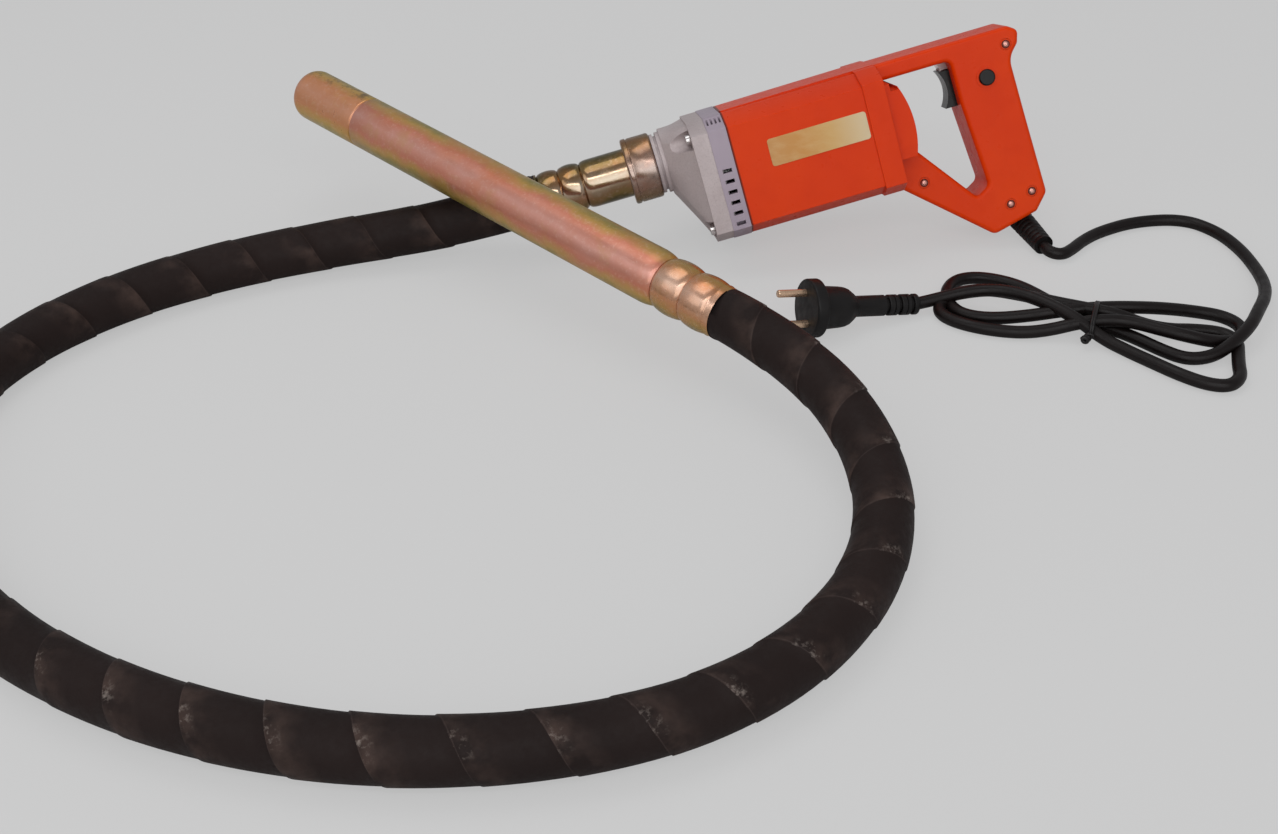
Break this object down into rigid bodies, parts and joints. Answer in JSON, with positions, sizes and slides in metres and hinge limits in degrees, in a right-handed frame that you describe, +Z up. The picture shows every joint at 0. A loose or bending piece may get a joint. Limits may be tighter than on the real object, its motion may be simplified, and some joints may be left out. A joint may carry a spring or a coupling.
{
  "type": "concrete vibrator",
  "caption": "Portable electric concrete vibrator: D-handled drive unit with trigger, flexible hose and steel poker, with its two-pin mains cord tied in a hank.",
  "frame": {"origin": "on the floor, under the middle of the drive unit and poker taken together", "axes": "+Z up; +X along the drive unit from its nose to its handle; +Y away from the side where the hose loops on the floor"},
  "size_m": [0.8325, 0.6206, 0.1391],
  "materials": {
    "grey_casting": "matt sand-cast, lightly blasted",
    "vent_grey": "matt moulded",
    "steel_screw": "zinc plated, dull",
    "pale_screw": "zinc plated, dull",
    "bright_steel": "ground",
    "bearing_steel": "ground",
    "nut_steel": "blued and oiled, satin",
    "passivated_zinc": "yellow-passivated zinc, satin",
    "laminated_iron": "varnished laminations",
    "wound_wire": "enamelled wire under varnish",
    "commutator_metal": "polished bars",
    "brass_holder": "pressed",
    "carbon": "pressed carbon",
    "spring_steel": "drawn wire",
    "fan_plastic": "moulded",
    "orange_plastic": "glossy moulded",
    "blank_label": "blank satin foil",
    "black_plastic": "satin moulded",
    "lead_insulation": "smooth",
    "seal_rubber": "moulded",
    "hose_rubber": "wrapped and cured, matt",
    "liner_polymer": "extruded",
    "cable_steel": "wound wire",
    "cord_rubber": "smooth, satin",
    "tie_wire": "coated wire",
    "plug_rubber": "moulded, satin",
    "pin_brass": "bright"
  },
  "bodies": {
    "frame": {"gear_case": "grey_casting", "bearing_plate": "grey_casting", "vent_ring": "vent_grey", "gear_case_screws": "steel_screw", "handle_screws": "pale_screw", "bearing_spacer": "bright_steel", "spindle_front_bearing": "bearing_steel", "spindle_rear_bearing": "bearing_steel", "armature_front_bearing": "bearing_steel", "armature_rear_bearing": "bearing_steel", "head_bearings": "bearing_steel", "drive_ferrule": "passivated_zinc", "head_ferrule": "passivated_zinc", "head_tube": "passivated_zinc", "tip_cap": "passivated_zinc", "stator_core": "laminated_iron", "field_coils": "wound_wire", "brush_holders": "brass_holder", "carbon_brushes": "carbon", "brush_springs": "spring_steel", "motor_housing": "orange_plastic", "handle_left": "orange_plastic", "handle_right": "orange_plastic", "rating_plate": "blank_label", "switch_body": "black_plastic", "capacitor": "black_plastic", "cord_clamp": "black_plastic", "lead_wires": "lead_insulation", "oil_seal": "seal_rubber", "hose": "hose_rubber", "hose_liner": "liner_polymer", "flexible_core": "cable_steel", "cord_guard": "cord_rubber", "power_cord": "cord_rubber", "cord_hank": "cord_rubber", "plug_cord": "cord_rubber", "cord_tie": "tie_wire", "plug_body": "plug_rubber", "plug_pins": "pin_brass"},
    "armature": {"armature_shaft": "bright_steel", "motor_pinion": "bright_steel", "armature_core": "laminated_iron", "armature_windings": "wound_wire", "commutator": "commutator_metal", "fan": "fan_plastic"},
    "output": {"spindle": "bright_steel", "spindle_gear": "bright_steel", "core_drive_end": "bright_steel"},
    "coupling_collar": {"coupling_nut": "nut_steel"},
    "trigger": {"trigger": "black_plastic"},
    "lock": {"lock_button": "black_plastic"},
    "poker_shaft": {"drive_stub": "bright_steel", "core_head_end": "bright_steel"},
    "orbit": {"joint_ball": "bright_steel"},
    "pendulum": {"pendulum": "bright_steel"}
  },
  "joints": [
    {"name": "armature_spin", "type": "hinge", "parent": "frame", "child": "armature", "pos_m": [0.08019, 0.0272, 0.06083], "axis": [0.9748, 0, 0.2233], "continuous": true},
    {"name": "output_spin", "type": "hinge", "parent": "frame", "child": "output", "pos_m": [0.00347, 0.03277, 0.05985], "axis": [0.9748, 0, 0.2233], "continuous": true},
    {"name": "collar_turn", "type": "hinge", "parent": "frame", "child": "coupling_collar", "pos_m": [-0.01797, 0.03277, 0.05493], "axis": [0.9748, 0, 0.2233], "range_deg": [0, 330]},
    {"name": "trigger_pull", "type": "slide", "parent": "frame", "child": "trigger", "axis": [0.9748, 0, 0.2233], "range_m": [0, 0.006], "stiffness_N_per_m": 300, "springref_m": -0.012},
    {"name": "lock_press", "type": "slide", "parent": "frame", "child": "lock", "axis": [0.0727, 0.9455, -0.3174], "range_m": [0, 0.0025], "stiffness_N_per_m": 300, "springref_m": -0.006},
    {"name": "poker_shaft_spin", "type": "hinge", "parent": "frame", "child": "poker_shaft", "pos_m": [-0.05218, -0.08007, 0.05424], "axis": [-0.622, 0.7792, 0.0771], "continuous": true},
    {"name": "pendulum_orbit", "type": "hinge", "parent": "frame", "child": "orbit", "pos_m": [-0.0696, -0.05825, 0.0564], "axis": [-0.622, 0.7792, 0.0771], "continuous": true},
    {"name": "pendulum_spin", "type": "hinge", "parent": "orbit", "child": "pendulum", "pos_m": [-0.0696, -0.05825, 0.0564], "axis": [-0.6226, 0.78, 0.0623], "continuous": true}
  ],
  "couplings": [
    {"joint": "output_spin", "follows": "armature_spin", "ratio": -0.40741},
    {"joint": "poker_shaft_spin", "follows": "armature_spin", "ratio": 0.40741},
    {"joint": "pendulum_orbit", "follows": "armature_spin", "ratio": -0.97778},
    {"joint": "pendulum_spin", "follows": "armature_spin", "ratio": 1.3852}
  ]
}
